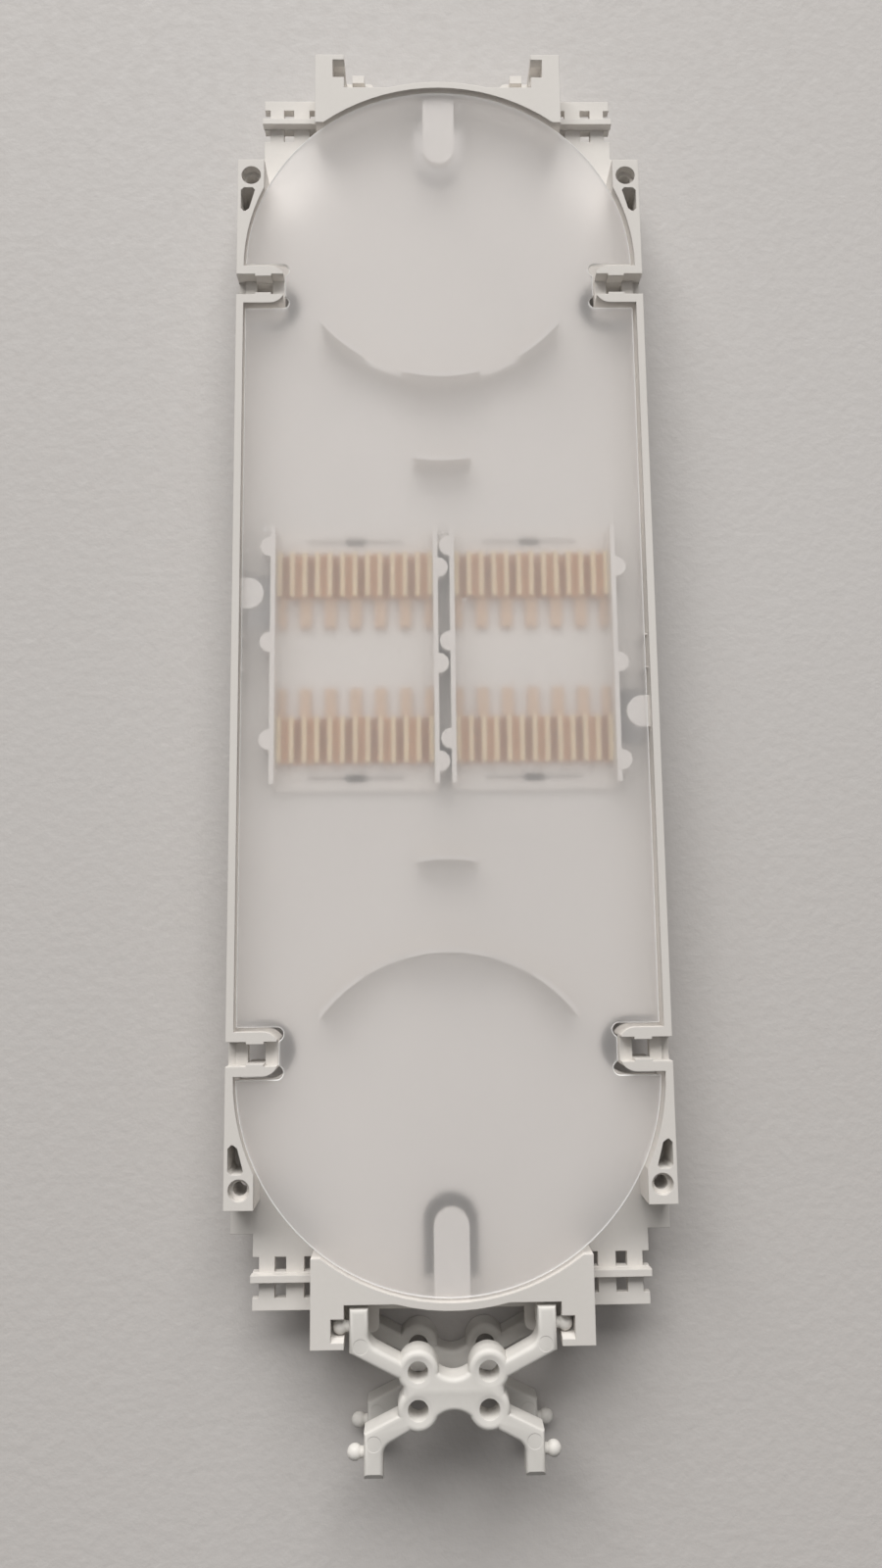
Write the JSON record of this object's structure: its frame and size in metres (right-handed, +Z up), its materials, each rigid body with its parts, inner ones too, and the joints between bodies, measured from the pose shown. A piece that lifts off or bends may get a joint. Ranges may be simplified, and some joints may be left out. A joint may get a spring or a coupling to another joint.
{
  "type": "fibre splice tray",
  "caption": "Long white tray that stores fibre loops and splices under a frosted cover, with two hinge links clipped to one end.",
  "frame": {"origin": "middle of the four screw holes, on the underside of the tray's floor", "axes": "+Z up through the cover, +Y along the tray to the end without links, +X across"},
  "size_m": [0.0964, 0.3237, 0.0207],
  "materials": {
    "white_tray": "fine satin moulding",
    "white_holder": "satin moulding",
    "white_link": "satin moulding with ejector marks",
    "frosted_cover": "frosted translucent sheet",
    "beige_rubber": "soft matt"
  },
  "bodies": {
    "tray": {"tray_body": "white_tray", "splice_holder_left": "white_holder", "splice_holder_right": "white_holder", "splice_comb_left_far": "beige_rubber", "splice_comb_left_near": "beige_rubber", "splice_comb_right_far": "beige_rubber", "splice_comb_right_near": "beige_rubber"},
    "cover": {"cover": "frosted_cover"},
    "upper_link": {"link_upper": "white_link"},
    "lower_link": {"link_lower": "white_link"}
  },
  "joints": [
    {"name": "cover_lift", "type": "slide", "parent": "tray", "child": "cover", "axis": [0, 0, 1], "range_m": [0, 0.03]},
    {"name": "upper_link_hinge", "type": "hinge", "parent": "tray", "child": "upper_link", "pos_m": [0, -0.1454, 0.0081], "axis": [-1, 0, 0], "range_deg": [0, 95]},
    {"name": "lower_link_hinge", "type": "hinge", "parent": "tray", "child": "lower_link", "pos_m": [0, -0.1454, -0.0064], "axis": [-1, 0, 0], "range_deg": [-95, 0]}
  ]
}
